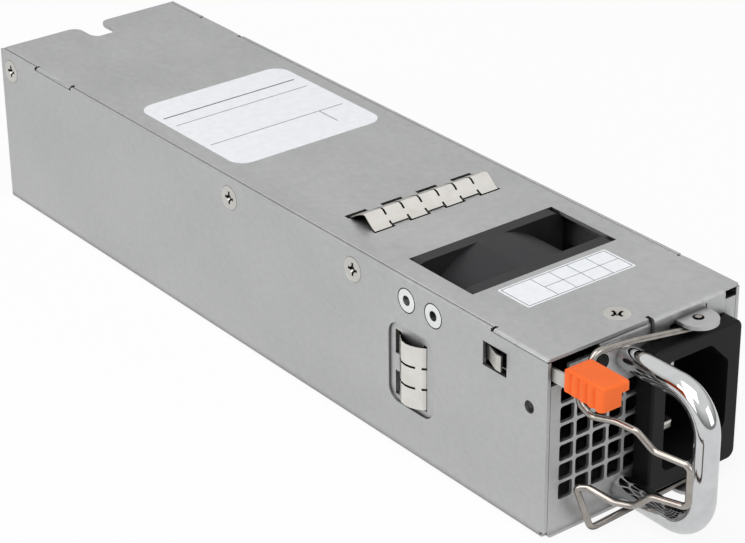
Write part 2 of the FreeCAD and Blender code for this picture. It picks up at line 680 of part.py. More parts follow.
def latch():
    outer = -wall_inside + 0.1
    inner = outer + blade_gauge
    run = box("blade_run", (outer, inner), (1.2, BLADE_PIVOT), (BLADE_LOW, BLADE_HIGH))
    neck = box("blade_neck", (outer, inner), (-11.5, 4), NECK_UP)
    hook = Outline("hook_outline", "XY", 32.2)
    peak = outer - HOOK_RISE
    hook.polygon((outer, 18.4), (peak, 13.9), (peak, 12.5), (peak + blade_gauge, 12.5),
                 (peak + blade_gauge, 13.75), (inner, 18.4))
    window = box("blade_window", (outer - 1, inner + 1), (12.5, 18.0), (32.2, 35.6))
    strip = cut("blade_pierced", fuse("blade_strip", run, neck), window)
    sub_part(fuse("blade", strip, hook.extrude("hook", 3.4)), "latch_blade")

    foot = box("foot_plate", (-wall_inside, -wall_inside + blade_gauge), (BLADE_PIVOT + 0.3, 46.2),
               (31.6, 38.2))
    foot = rounded("foot_rounded", foot, 1.5, lambda e: runs_along(e, X_AXIS) and middle(e).y > 46)
    holes = [rod(f"foot_hole_{y}", (-half_width, y, screw_level), "X", 2.0, 4) for y in RIVET_PLACES]
    sub_part(cut("foot", foot, *holes), "latch_foot")

    rivets = []
    for y in RIVET_PLACES:
        start = (-half_width, y, screw_level)
        ahead = (-half_width - 1, y, screw_level)
        head = rod(f"rivet_head_{y}", start, "X", RIVET_HEAD, steel)
        barrel = rod(f"rivet_barrel_{y}", start, "X", 2.0, steel + blade_gauge + 0.45)
        rim = rod(f"rivet_rim_{y}", (-wall_inside + blade_gauge, y, screw_level), "X", 2.6, 0.45)
        bore = rod(f"rivet_bore_{y}", ahead, "X", 1.1, 6)
        groove = cut(f"rivet_groove_{y}", rod(f"rivet_groove_out_{y}", ahead, "X", 3.2, 1.25),
                     rod(f"rivet_groove_in_{y}", ahead, "X", 2.5, 2))
        rivets.append(cut(f"rivet_{y}", fuse(f"rivet_blank_{y}", head, barrel, rim), bore, groove))
    sub_part(group("rivets", *rivets), "latch_rivets")

    (left, right), (front, rear), (low, high) = TAB_SIDE, TAB_REACH, TAB_UP
    plate = box("tab_plate", (left + 0.5, right), (front, rear), (high - TAB_PLATE, high))
    block = box("tab_block", (left + 0.5, left + TAB_BLOCK), (front, rear), (low, high))
    tab = rounded("tab_rounded", fuse("tab_blank", plate, block), 0.7,
                  lambda e: runs_along(e, Z_AXIS) or middle(e).z > high - 0.01)
    pitch = (rear - front - 2 * RIB_RADIUS) / 4
    ribs = [rod(f"tab_rib_{n}", (left + RIB_RADIUS, front + RIB_RADIUS + pitch * n, low + 0.1 * n), "Z",
                RIB_RADIUS, high - low - 0.35 - 0.1 * n)
            for n in range(5)]
    slot = box("tab_slot", (outer, inner), (-11.5, rear + 1), NECK_UP)
    sub_part(cut("tab", fuse("tab_ribbed", tab, *ribs), slot), "thumb_tab")


# ------------------------------------------------------------------ finger strips

TOP_ARCH = ((0, -1.0), (0, 0.05), (0.95, 0.5), (1.95, 1.33), (2.75, 2.03), (3.3, 2.45), (4.0, 2.6),
            (5.2, 2.15), (6.6, 1.46), (7.8, 0.64), (8.6, 0.2), (9.1, 0.0), (9.1, -1.0))
SIDE_ARCH = ((-4.3, -1.0), (-4.3, 0.05), (-3.8, 0.55), (-2.6, 1.4), (-1.3, 1.95), (0, 2.15),
             (1.5, 1.9), (2.8, 1.25), (3.7, 0.55), (4.1, 0.1), (4.1, -1.0))


def arch_section(arch, gauge):
    """The arched section of a finger strip: the outer line and, one gauge inside, the way back."""
    inside = []
    for n, (along, up) in enumerate(arch):
        before = arch[max(n - 1, 0)]
        after = arch[min(n + 1, len(arch) - 1)]
        run = math.hypot(after[0] - before[0], after[1] - before[1])
        inside.append((along + gauge * (after[1] - before[1]) / run,
                       up - gauge * (after[0] - before[0]) / run))
    return list(arch) + inside[::-1]


def emi_strip_top():
    """Seven fingers: every second one dives into its slots, and the others lie on the lid."""
    face = number(case_height)
    section = [(TOP_STRIP_FRONT + a, face + b) for a, b in arch_section(TOP_ARCH, number(finger_gauge))]
    outline = Outline("top_strip_outline", "YZ", TOP_STRIP_LEFT).polygon(*section)
    blank = outline.extrude("top_strip_blank", FINGER_PITCH * 7)
    tools = []
    for n in range(1, 7):
        x = TOP_STRIP_LEFT + FINGER_PITCH * n
        tools.append(box(f"top_slit_{n}", (x - 0.25, x + 0.25), (65.2, 74), (38, 44)))
        tools.append(box(f"top_nick_{n}", (x - 0.25, x + 0.25), (61, 64.1), (38, 44)))
    for n in (1, 3, 5):
        x = TOP_STRIP_LEFT + FINGER_PITCH * n
        tools.append(box(f"top_gap_{n}", (x, x + FINGER_PITCH), (60, 75), (38, face + 0.02)))
        tools.append(box(f"top_front_{n}", (x, x + FINGER_PITCH), (60, 63.4), (38, 44)))
    sub_part(cut("top_strip", blank, *tools), "emi_strip_top")


def emi_strip_side():
    face = -number(half_width) + RECESS_DEPTH
    section = [(face - b, SIDE_STRIP_MIDDLE + a)
               for a, b in arch_section(SIDE_ARCH, number(finger_gauge))]
    outline = Outline("side_strip_outline", "XY", SIDE_STRIP_LOW).polygon(*section)
    blank = outline.extrude("side_strip_blank", FINGER_PITCH * 3)
    tools = []
    for n in (1, 2):
        z = SIDE_STRIP_LOW + FINGER_PITCH * n
        tools.append(box(f"side_slit_{n}", (-30, -20), (38.3, 50), (z - 0.25, z + 0.25)))
        tools.append(box(f"side_nick_{n}", (-30, -20), (34, 37.2), (z - 0.25, z + 0.25)))
    low = SIDE_STRIP_LOW + FINGER_PITCH
    tools.append(box("side_gap", (face - 0.02, -20), (30, 50), (low, low + FINGER_PITCH)))
    sub_part(cut("side_strip", blank, *tools), "emi_strip_side")


# ------------------------------------------------------------------ screws and lamp

def flat_screw(name, start, axis, length):
    """A countersunk screw from its head's face inward, with a cross drive sunk in the head."""
    head = cone(name + "_head", start, axis, SCREW_HEAD, SCREW_SHANK, 0.78)
    shank = rod(name + "_shank", start, axis, SCREW_SHANK, length)
    x, y, z = start
    if axis == "-Z":
        slots = [box(f"{name}_slot_a", (x - 1.5, x + 1.5), (y - 0.3, y + 0.3), (z - 0.7, z + 1)),
                 box(f"{name}_slot_b", (x - 0.3, x + 0.3), (y - 1.5, y + 1.5), (z - 0.7, z + 1))]
    else:
        low, high = (x - 1, x + 0.7) if axis == "X" else (x - 0.7, x + 1)
        slots = [box(f"{name}_slot_a", (low, high), (y - 1.5, y + 1.5), (z - 0.3, z + 0.3)),
                 box(f"{name}_slot_b", (low, high), (y - 0.3, y + 0.3), (z - 1.5, z + 1.5))]
    socket = cone(name + "_socket", start, axis, 0.85, 0.2, 1.2)
    return cut(name, fuse(name + "_solid", head, shank), *slots, socket)


def fasteners():
    screws = []
    for side, axis in ((-1, "X"), (1, "-X")):
        screws += [flat_screw(f"side_screw_{side + 1}_{n}", (half_width * side, y, screw_level), axis,
                              3.2)
                   for n, y in enumerate(SIDE_SCREWS)]
    sub_part(group("side_screws", *screws), "cover_screws")
    sub_part(flat_screw("lid_screw", (*TOP_SCREW, case_height), "-Z", 4), "top_screw")
    body = rod("lamp_body", (LAMP_PLACE[0], -0.25, LAMP_PLACE[1]), "Y", 1.85, 6)
    sub_part(rounded("lamp", body, 0.8, lambda e: middle(e).y < 0), "status_lamp")


# ------------------------------------------------------------------ fan

FAN_FLANGE = 3.0
FAN_CORNER = 3.0
FAN_BORE = 18.6
FAN_BARREL = 20.3
FAN_HOLE_SPAN = 16.0
HUB = 10.2
BLADES = 7
SPINDLE = 1.0


def fan():
    half = fan_size / 2
    rear = fan_front + fan_depth
    low_x, high_x = (-half, half), (0, fan_size)
    square = Outline("fan_square_outline", "XZ", fan_front).rounded_box(low_x, high_x, FAN_CORNER)
    whole = square.extrude("fan_square", fan_depth)
    waist = cut("fan_waist", box("fan_waist_box", (-half - 1, half + 1),
                                 (fan_front + FAN_FLANGE, rear - FAN_FLANGE), (-1, fan_size + 1)),
                rod("fan_barrel_keep", (0, fan_front, half), "Y", FAN_BARREL, fan_depth))
    bore = rod("fan_bore", (0, fan_front - 1, half), "Y", FAN_BORE, fan_depth + 2)
    corners = [(sx * FAN_HOLE_SPAN, half + sz * FAN_HOLE_SPAN) for sx in (-1, 1) for sz in (-1, 1)]
    holes = [rod(f"fan_hole_{side}_{n}", (x, face, z), axis, 1.75, 2.4)
             for side, face, axis in (("front", fan_front, "Y"), ("rear", rear, "-Y"))
             for n, (x, z) in enumerate(corners)]
    ring = cut("fan_ring", whole, waist, bore, *holes)
    base = rod("fan_base", (0, rear - 3.2, half), "Y", HUB + 0.4, 3.2)
    arms = []
    for n in range(4):
        strut = box(f"fan_strut_{n}", (0, FAN_BORE + 1), (rear - 2.6, rear), (-0.9, 0.9))
        turn = FreeCAD.Rotation(Y_AXIS, 35 + 90 * n)
        strut.Placement = FreeCAD.Placement(Vector(0, number(rear) - 2.6, number(half)), turn).multiply(
            FreeCAD.Placement(Vector(0, 0, -0.9), FreeCAD.Rotation()))
        arms.append(strut)
    sleeve = rod("fan_sleeve", (0, rear - 13, half), "Y", 2.6, 11)
    frame = fuse("fan_frame_solid", ring, base, sleeve, *arms)
    spindle_hole = rod("fan_spindle_hole", (0, rear - 14, half), "Y", SPINDLE + 0.05, 12.6)
    sub_part(cut("fan_housing", frame, spindle_hole), "fan_frame")

    cup_front = fan_front + 2
    cup = rounded("rotor_cup_round", rod("rotor_cup", (0, cup_front, half), "Y", HUB, 14), 1.2,
                  lambda e: middle(e).y < number(cup_front) + 0.01)
    hollow = rod("rotor_hollow", (0, cup_front + 1.6, half), "Y", HUB - 1.2, 14)
    seat = rod("rotor_seat", (0, cup_front, half), "Y", 2.2, 3.6)
    seat_hole = rod("rotor_seat_hole", (0, cup_front + 0.6, half), "Y", SPINDLE, 4)
    hub = cut("rotor_hub", fuse("rotor_hub_solid", cut("rotor_shell", cup, hollow), seat), seat_hole)
    sub_part(fuse("rotor", hub, rotor_blades(number(cup_front), number(half))), "fan_rotor")
    spindle = rod("spindle_bar", (0, cup_front + 0.6, half), "Y", SPINDLE, 15)
    point = cone("spindle_point", (0, cup_front + 15.6, half), "Y", SPINDLE, SPINDLE - 0.4, 0.5)
    sub_part(fuse("spindle", spindle, point), "fan_shaft")
    coil = cut("coil_ring", rod("coil_blank", (0, rear - 12, half), "Y", 7.8, 8.0),
               rod("coil_hole", (0, rear - 13, half), "Y", 2.6, 10))
    sub_part(coil, "fan_stator")


def rotor_blades(front, level):
    """Twisted blades: each a ruled loft from a steep root section to a flatter tip section."""
    blades = []
    for n in range(BLADES):
        turn = 2 * math.pi * n / BLADES
        radial = Vector(math.cos(turn), 0, math.sin(turn))
        around = Vector(-math.sin(turn), 0, math.cos(turn))
        sections = []
        for radius, pitch_angle, chord in ((HUB - 0.9, 52, 11.5), (FAN_BORE - 1.3, 34, 12.5)):
            slope = math.radians(pitch_angle)
            along = around * math.cos(slope) + Y_AXIS * math.sin(slope)
            thick = Y_AXIS * math.cos(slope) - around * math.sin(slope)
            middle_point = Vector(0, front + 6.6, level) + radial * radius
            points = [middle_point + along * (chord * step) + thick * rise
                      for step, rise in ((-0.5, 0.15), (0, 0.75), (0.5, 0.15), (0.5, -0.15), (0, -0.15),
                                         (-0.5, -0.15))]
            sections.append(Part.makePolygon(points + points[:1]))
        blades.append(Part.makeLoft(sections, True, True))
    feature = doc.addObject("Part::Feature", "rotor_blade_set")
    feature.Shape = Part.makeCompound(blades)
    return feature


# ------------------------------------------------------------------ main board and what stands on it

STANDOFFS = [(x, y) for y in (57, 116, 178) for x in (-19.5, 19.5)]


def main_board():
    half = board_width / 2
    shoulder = 184
    plate = fuse("board_plate", box("board_wide", (-half, half), (board_front, shoulder),
                                    (board_level, board_top)),
                 box("board_tongue", (-19.5, 19.5), (shoulder - 1, board_rear),
                     (board_level, board_top)))
    tools = [rod(f"board_hole_{n}", (x, y, 0), "Z", 1.6, 10) for n, (x, y) in enumerate(STANDOFFS)]
    tools.append(box("card_key", (6.2, 7.8), (190, 199), (0, 10)))
    sub_part(cut("board", plate, *tools), "main_board")

    posts, screws = [], []
    for n, (x, y) in enumerate(STANDOFFS):
        post = rod(f"post_{n}", (x, y, steel), "Z", 2.6, board_level - steel)
        posts.append(cut(f"post_tapped_{n}", post, rod(f"post_tap_{n}", (x, y, 0.5), "Z", 1.25, 6)))
        head = rod(f"board_screw_head_{n}", (x, y, board_top), "Z", 2.5, 1.6)
        shank = rod(f"board_screw_shank_{n}", (x, y, board_top + 0.1), "-Z", 1.25, board_gauge + 2.4)
        drive = rod(f"board_screw_drive_{n}", (x, y, board_top + 0.8), "Z", 1.0, 2)
        screws.append(cut(f"board_screw_{n}", fuse(f"board_screw_solid_{n}", head, shank), drive))
    sub_part(group("posts", *posts), "board_standoffs")
    sub_part(group("board_screw_set", *screws), "board_screws")
    film = box("film_blank", (-half - 0.6, half + 0.6), (board_front - 0.6, 186), (steel, steel + 0.3))
    holes = [rod(f"film_hole_{n}", (x, y, 0), "Z", 2.9, 4) for n, (x, y) in enumerate(STANDOFFS)]
    sub_part(cut("film", film, *holes), "insulating_sheet")

    contacts = []
    for side, level in (("under", board_level - 0.12), ("over", board_top)):
        for n in range(16):
            x = -18.6 + 2.4 * n
            if 5.0 < x < 8.0:
                continue
            contacts.append(box(f"contact_{side}_{n}", (x, x + 1.7), (189, 197.2),
                                (level, level + 0.12)))
    sub_part(group("card_contacts", *contacts), "edge_contacts")


def filter_section():
    """Mains leads, common-mode choke, capacitors and the bridge rectifier."""
    leads = [bent_rod("line_lead", [(8.1, 21, 26.45), (8.1, 25.4, 26.45), (22.4, 25.4, 26.45),
                                (22.4, 53, 20), (22.0, 60, 7.4), (22.0, 60, 5.8)],
                  (1.9, 1.9, 6, 1.5), 1.0),
             bent_rod("neutral_lead", [(8.1, 21, 12.45), (8.1, 25.4, 12.45), (22.4, 25.4, 12.45),
                                   (22.4, 53, 11), (19.0, 63, 7.4), (19.0, 63, 5.8)],
                  (1.9, 1.9, 6, 1.5), 1.0),
             bent_rod("earth_lead", [(12.1, 21, 19.45), (12.1, 23.2, 19.45), (12.1, 23.2, 0.8)],
                  (1.05,), 1.0)]
    sub_part(group("mains_leads", *leads), "inlet_wires")
    core = cut("choke_ring", rod("choke_blank", (8, 64, board_top + 12.5), "Y", 11, 9),
               rod("choke_eye", (8, 63, board_top + 12.5), "Y", 5.6, 11))
    sub_part(core, "emi_choke_core")
    coils = []
    for n in range(12):
        side = -1 if n < 6 else 1
        angle = math.radians(90 * side + (n % 6 - 2.5) * 18)
        x, z = 8 + 8.3 * math.sin(angle), number(board_top) + 12.5 + 8.3 * math.cos(angle)
        turn = cut(f"choke_turn_{n}", box(f"choke_turn_out_{n}", (-3.9, 3.9), (62.9, 74.1),
                                          (-0.65, 0.65)),
                   box(f"choke_turn_in_{n}", (-2.85, 2.85), (63.9, 73.1), (-1, 1)))
        turn.Placement = FreeCAD.Placement(Vector(x, 0, z),
                                           FreeCAD.Rotation(Y_AXIS, math.degrees(angle) + 90))
        coils.append(turn)
    sub_part(group("choke_turns", *coils), "emi_choke_winding")
    blocks = [rounded(f"x_cap_{n}", box(f"x_cap_blank_{n}", (-20.5, -5.5), (front, front + 8.5),
                                        (board_top, board_top + 17)), 1.0,
                      lambda e: runs_along(e, Z_AXIS)) for n, front in enumerate((60.5, 71.5))]
    sub_part(group("filter_capacitors", *blocks), "x_capacitors")
    bridge = box("bridge_blank", (-21, 0), (84.2, 88.2), (board_top + 3, board_top + 18))
    sub_part(rounded("bridge", bridge, 0.6, lambda e: middle(e).y < 84.21), "bridge_rectifier")


def finned_block(name, x, y, base, height, fin_count):
    """An extruded heatsink: a spine with thin fins standing up from it."""
    spine = box(name + "_spine", x, (y[0], y[0] + 3), (base, base + height))
    length = (x[1] - x[0]) / (fin_count - 1)
    fins = [box(f"{name}_fin_{n}", (x[0] + (length - 0.1) * n, x[0] + (length - 0.1) * n + 1.2), y,
                (base, base + height))
            for n in range(fin_count)]
    return fuse(name, spine, *fins)


def power_section():
    sub_part(finned_block("primary_sink", (-22, 0.5), (88.2, 99), board_top, 29, 7), "primary_heatsink")
    centre = number(board_top) + 12.5
    torus = cut("boost_ring", rod("boost_blank", (-10, 104, centre), "Y", 10.5, 10),
                rod("boost_eye", (-10, 103, centre), "Y", 5.2, 12))
    sub_part(torus, "pfc_choke_core")
    turns = []
    for n in range(16):
        angle = math.radians(22.5 * n + 11.25)
        turn = cut(f"boost_turn_{n}", box(f"boost_turn_out_{n}", (-3.7, 3.7), (102.9, 115.1),
                                          (-0.7, 0.7)),
                   box(f"boost_turn_in_{n}", (-2.7, 2.7), (103.9, 114.1), (-1, 1)))
        turn.Placement = FreeCAD.Placement(Vector(-10 + 7.85 * math.cos(angle), 0,
                                                  centre + 7.85 * math.sin(angle)),
                                           FreeCAD.Rotation(Y_AXIS, -math.degrees(angle)))
        turns.append(turn)
    sub_part(group("boost_turns", *turns), "pfc_choke_winding")
    can = rod("can", (12.2, 88.5, board_top + 14), "Y", 10, 30)
    groove = cut("can_groove", rod("can_groove_out", (12.2, 115.2, board_top + 14), "Y", 11, 0.9),
                 rod("can_groove_in", (12.2, 115, board_top + 14), "Y", 9.5, 2))
    sub_part(cut("can_pressed", can, groove), "bulk_capacitor")
    packs = []
    for n, x in enumerate((-20.5, -9)):
        body = box(f"pack_{n}", (x, x + 10), (99, 101.2), (board_top + 4, board_top + 19))
        legs = box(f"pack_legs_{n}", (x + 2, x + 8), (99.8, 100.4), (board_top, board_top + 5))
        packs.append(fuse(f"transistor_{n}", body, legs))
    bars = box("clip_bar", (-22, 1), (101.2, 102.2), (board_top + 9, board_top + 14))
    sub_part(group("transistors", *packs, bars), "power_transistors")

    core = box("core_block", (-21, 4), (119, 143), (board_top, board_top + 24))
    window = cut("core_window", box("core_room", (-22, 5), (123, 139), (board_top + 5, board_top + 20)),
                 rod("core_leg", (-8.5, 131, board_top), "Z", 5.6, 30))
    sub_part(cut("ferrite", core, window), "transformer_core")
    coil = cut("coil_pack", rod("coil_pack_out", (-8.5, 131, board_top + 5.3), "Z", 11.6, 14.4),
               rod("coil_pack_in", (-8.5, 131, board_top), "Z", 5.7, 30))
    wide = box("coil_limit", (-21, 4), (123.2, 138.8), (board_top, board_top + 25))
    trimmed = doc.addObject("Part::Common", "coil_trimmed")
    trimmed.Base = coil
    trimmed.Tool = wide
    sub_part(trimmed, "transformer_winding")
    sub_part(finned_block("secondary_sink", (7.5, 21.5), (130, 160), board_top, 28, 5),
             "secondary_heatsink")
    cans = []
    for n in range(8):
        x, y = -17.5 + 9.2 * (n % 3), 151 + 9.2 * (n // 3)
        cans.append(fuse(f"out_can_{n}", rod(f"out_can_body_{n}", (x, y, board_top), "Z", 4.2, 19.4),
                         cone(f"out_can_top_{n}", (x, y, board_top + 19.4), "Z", 4.2, 3.6, 0.6)))
    sub_part(group("out_cans", *cans), "output_capacitors")
    card = box("card_plate", (13.0, 14.2), (162.5, 183), (board_top, board_top + 27))
    chips = [box(f"chip_{n}", (11.8, 13.0), (165 + 9 * n, 171 + 9 * n),
                 (board_top + 8, board_top + 14)) for n in range(2)]
    sub_part(fuse("control_card", card, *chips), "control_board")


# ------------------------------------------------------------------ build, check and write

chassis_pan()
top_cover()
front_panel()
rear_panel()
inlet()
pull_handle()
cord_bail()
latch()
emi_strip_top()
emi_strip_side()
fasteners()
fan()
main_board()
filter_section()
power_section()

doc.recompute()

for feature in doc.Objects:
    if "Invalid" in feature.State or "Error" in feature.State:
        raise RuntimeError(f"{feature.Name} failed: {feature.State}")
for feature in SUB_PARTS:
    if feature.Shape.isNull() or not feature.Shape.isValid() or not feature.Shape.Solids:
        raise RuntimeError(f"{feature.Label} has no valid solid")

os.makedirs("parts", exist_ok=True)
for feature in SUB_PARTS:
    feature.Shape.exportStep(f"parts/{feature.Label}.step")
    extent = feature.Shape.BoundBox
    print(f"{feature.Label:22s} solids {len(feature.Shape.Solids):3d}"
          f"  x {extent.XMin:7.2f} {extent.XMax:7.2f}  y {extent.YMin:7.2f} {extent.YMax:7.2f}"
          f"  z {extent.ZMin:6.2f} {extent.ZMax:6.2f}  volume {feature.Shape.Volume:9.1f}")
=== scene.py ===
import math

import bmesh
import bpy
from mathutils import Matrix, Vector


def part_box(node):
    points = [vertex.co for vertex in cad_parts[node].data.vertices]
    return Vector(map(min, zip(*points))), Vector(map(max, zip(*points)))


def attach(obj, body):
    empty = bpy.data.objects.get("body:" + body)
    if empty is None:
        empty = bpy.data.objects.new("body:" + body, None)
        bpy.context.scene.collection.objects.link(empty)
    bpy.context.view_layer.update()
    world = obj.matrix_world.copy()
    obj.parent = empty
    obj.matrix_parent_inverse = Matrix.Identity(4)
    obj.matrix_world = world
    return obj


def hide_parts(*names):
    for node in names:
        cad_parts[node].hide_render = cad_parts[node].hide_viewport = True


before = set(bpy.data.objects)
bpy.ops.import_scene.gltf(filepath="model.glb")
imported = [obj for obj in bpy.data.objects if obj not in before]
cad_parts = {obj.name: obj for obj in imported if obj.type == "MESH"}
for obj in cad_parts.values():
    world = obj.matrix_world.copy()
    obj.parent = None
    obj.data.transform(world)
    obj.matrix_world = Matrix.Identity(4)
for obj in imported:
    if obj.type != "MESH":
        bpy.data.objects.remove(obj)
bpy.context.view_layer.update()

# ---------------------------------------------------------------- case pan
# The tray of the case: one zinc-coated steel blank, folded up at both sides, pierced and pressed.
# The coating is dull and lightly clouded, with fine rolling marks along the case.


def add_node(tree, kind, *links, **settings):
    """A shader node with its settings; links are (input name or index, value or socket) pairs."""
    node = tree.nodes.new(kind)
    for name, value in settings.items():
        setattr(node, name, value)
    for key, value in links:
        if isinstance(value, bpy.types.NodeSocket):
            tree.links.new(value, node.inputs[key])
        else:
            node.inputs[key].default_value = value
    return node


def start_finish(name, metallic, specular=0.5):
    """A material with a principled surface, and the object coordinates that its patterns follow."""
    material = bpy.data.materials.new(name)
    material.use_nodes = True
    tree = material.node_tree
    surface = tree.nodes["Principled BSDF"]
    surface.inputs["Metallic"].default_value = metallic
    surface.inputs["Specular IOR Level"].default_value = specular
    place = tree.nodes.new("ShaderNodeTexCoord").outputs["Object"]
    return material, tree, surface, place


def cloud(tree, place, grain, detail=3.0, stretch=(1, 1, 1)):
    """Noise whose patches are about grain metres across, drawn out along an axis by stretch."""
    scaled = add_node(tree, "ShaderNodeMapping", ("Vector", place),
                      ("Scale", [1 / factor for factor in stretch]))
    noise = add_node(tree, "ShaderNodeTexNoise", ("Vector", scaled.outputs[0]), ("Scale", 1 / grain),
                     ("Detail", detail))
    return noise.outputs["Fac"]


def between(tree, factor, low, high, start=0.35, end=0.65):
    """A value that runs from low to high as the factor goes from start to end."""
    ranged = add_node(tree, "ShaderNodeMapRange", ("Value", factor), ("From Min", start),
                      ("From Max", end), ("To Min", low), ("To Max", high))
    return ranged.outputs[0]


def shade_between(tree, factor, low, high):
    """A colour that runs from low to high with the noise."""
    share = between(tree, factor, 0, 1, 0.3, 0.7)
    mixed = add_node(tree, "ShaderNodeMix", ("Factor", share), data_type="RGBA")
    mixed.inputs["A"].default_value = (*low, 1)
    mixed.inputs["B"].default_value = (*high, 1)
    return mixed.outputs["Result"]


def relief(tree, surface, height, depth, strength):
    """Raise the surface by a pattern, depth metres at most."""
    bump = add_node(tree, "ShaderNodeBump", ("Height", height), ("Distance", depth),
                    ("Strength", strength))
    tree.links.new(bump.outputs[0], surface.inputs["Normal"])


def paint_shade_in_gaps(tree, place, colour, reach, shut=0.3, clear=0.85):
    """The colour with painted shade: nearly black inside slots and seams narrower than reach, but not on
    the underside.
    """
    darkest = 0.05
    underside, above_underside = 0.0005, 0.001
    # Painted shade: ambient occlusion darkens the base colour where slots and seams are narrow.
    gaps = add_node(tree, "ShaderNodeAmbientOcclusion", ("Distance", reach), samples=8)
    height = add_node(tree, "ShaderNodeSeparateXYZ", (0, place)).outputs["Z"]
    beneath = between(tree, height, 1, 0, underside, above_underside)
    openness = add_node(tree, "ShaderNodeMath", (0, gaps.outputs["AO"]), (1, beneath),
                        operation="MAXIMUM")
    share = between(tree, openness.outputs[0], darkest, 1, shut, clear)
    with_painted_shade = add_node(tree, "ShaderNodeVectorMath", (0, colour), ("Scale", share), operation="SCALE")
    return with_painted_shade.outputs[0]


def zinc_coated_sheet():
    """Zinc-coated steel: a dull, clouded grey with fine marks from rolling, and painted shade in its
    slots and seams.
    """
    material, tree, surface, place = start_finish("zinc_coated_sheet", 0.85)
    mottle = cloud(tree, place, 0.0012, 5.0, stretch=(1, 1.6, 1))
    smears = cloud(tree, place, 0.02, stretch=(1, 1.8, 1))
    rolling_marks = cloud(tree, place, 0.00025, 2.0, stretch=(1, 3, 1))
    total = add_node(tree, "ShaderNodeMath", (0, mottle), (1, smears), operation="ADD")
    average = add_node(tree, "ShaderNodeMath", (0, total.outputs[0]), (1, 2.0), operation="DIVIDE")
    patches = average.outputs[0]
    colour = shade_between(tree, patches, (0.415, 0.417, 0.416), (0.505, 0.507, 0.505))
    # Painted shade: the base colour darkens inside slots and seams up to 3 mm wide.
    widest_seam = 0.003
    tree.links.new(paint_shade_in_gaps(tree, place, colour, widest_seam), surface.inputs["Base Color"])
    tree.links.new(between(tree, patches, 0.4, 0.5), surface.inputs["Roughness"])
    relief(tree, surface, rolling_marks, 0.000006, 0.5)
    return material


def dress(material, *names):
    """Give CAD nodes a finish, in place of the plain one that they came with."""
    for name in names:
        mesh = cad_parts[name].data
        mesh.materials.clear()
        mesh.materials.append(material)


zinc = zinc_coated_sheet()
dress(zinc, "chassis_pan")

# ---------------------------------------------------------------- front and rear panels
# Two pierced end plates of the same zinc-coated sheet, with flanges that fit between the pan's walls.
# The front one carries the vents, the inlet, the handle and the lamp.

dress(zinc, "front_panel", "rear_panel")

# ---------------------------------------------------------------- main board
# A glass-fibre board on six nickel-plated posts, with its rear edge cut as a card edge with gilt
# pads. A thin plastic sheet keeps the soldered side off the pan.


def moulded(name, dark, light, roughness, grain=0.0004, depth=0.00002, specular=0.5):
    """A moulded or coated finish with a fine, even grain and a slight unevenness of colour and gloss."""
    material, tree, surface, place = start_finish(name, 0.0, specular)
    fine = cloud(tree, place, grain, 2.0)
    broad = cloud(tree, place, grain * 25, 2.0)
    tree.links.new(shade_between(tree, broad, dark, light), surface.inputs["Base Color"])
    tree.links.new(between(tree, broad, roughness * 0.88, roughness * 1.12), surface.inputs["Roughness"])
    relief(tree, surface, fine, depth, 0.5)
    return material


def plated(name, dull, bright, roughness, stretch=(1, 1, 1), grain=0.0006, shade_reach=0.002, shut=0.5):
    """A bare or plated metal with faint drawing marks, and painted shade in hollows narrower than the
    reach given.
    """
    material, tree, surface, place = start_finish(name, 1.0)
    mark_depth = 0.0000006
    marks = cloud(tree, place, grain, stretch=stretch)
    colour = shade_between(tree, marks, dull, bright)
    # Painted shade: the base colour darkens in hollows narrower than the reach given.
    with_painted_shade = paint_shade_in_gaps(tree, place, colour, shade_reach, shut, clear=0.97)
    tree.links.new(with_painted_shade, surface.inputs["Base Color"])
    tree.links.new(between(tree, marks, roughness * 0.8, roughness * 1.25), surface.inputs["Roughness"])
    relief(tree, surface, marks, mark_depth, 0.4)
    return material


board_green = moulded("solder_mask", (0.012, 0.11, 0.045), (0.02, 0.17, 0.07), 0.3)
dress(board_green, "main_board", "control_board")
dress(plated("gilt_pad", (0.75, 0.50, 0.16), (0.90, 0.66, 0.28), 0.25), "edge_contacts")
# The nickel's painted shade reaches 4 mm, so the screws' cross recesses are darkened.
nickel = plated("nickel_plate", (0.53, 0.515, 0.48), (0.62, 0.605, 0.57), 0.32, grain=0.003,
                shade_reach=0.004, shut=0.1)
dress(nickel, "board_standoffs", "board_screws", "handle_screws")
dress(moulded("clear_film", (0.55, 0.56, 0.52), (0.68, 0.69, 0.66), 0.25), "insulating_sheet")

# ---------------------------------------------------------------- power stage
# What stands on the board from front to rear: line filter, rectifier, boost stage, reservoir can,
# transformer, output cans and control card. Ferrite, copper, aluminium and moulded boxes.

dress(moulded("ferrite", (0.045, 0.045, 0.05), (0.085, 0.085, 0.09), 0.7, depth=0.00006),
      "emi_choke_core", "pfc_choke_core", "transformer_core")
dress(plated("enamelled_copper", (0.45, 0.16, 0.05), (0.72, 0.30, 0.10), 0.28),
      "emi_choke_winding", "pfc_choke_winding", "fan_stator")
dress(plated("extruded_aluminium", (0.55, 0.55, 0.56), (0.70, 0.70, 0.71), 0.38, stretch=(1, 1, 20)),
      "primary_heatsink", "secondary_heatsink")
dress(moulded("capacitor_sleeve", (0.012, 0.014, 0.03), (0.02, 0.024, 0.045), 0.3),
      "bulk_capacitor", "output_capacitors")
dress(moulded("yellow_case", (0.60, 0.38, 0.03), (0.72, 0.48, 0.06), 0.4), "x_capacitors")
dress(moulded("yellow_tape", (0.66, 0.44, 0.05), (0.80, 0.56, 0.09), 0.25), "transformer_winding")
dress(moulded("mould_compound", (0.016, 0.016, 0.017), (0.03, 0.03, 0.031), 0.5),
      "bridge_rectifier", "power_transistors")
dress(moulded("lead_sleeve", (0.05, 0.018, 0.008), (0.09, 0.035, 0.015), 0.4), "inlet_wires")

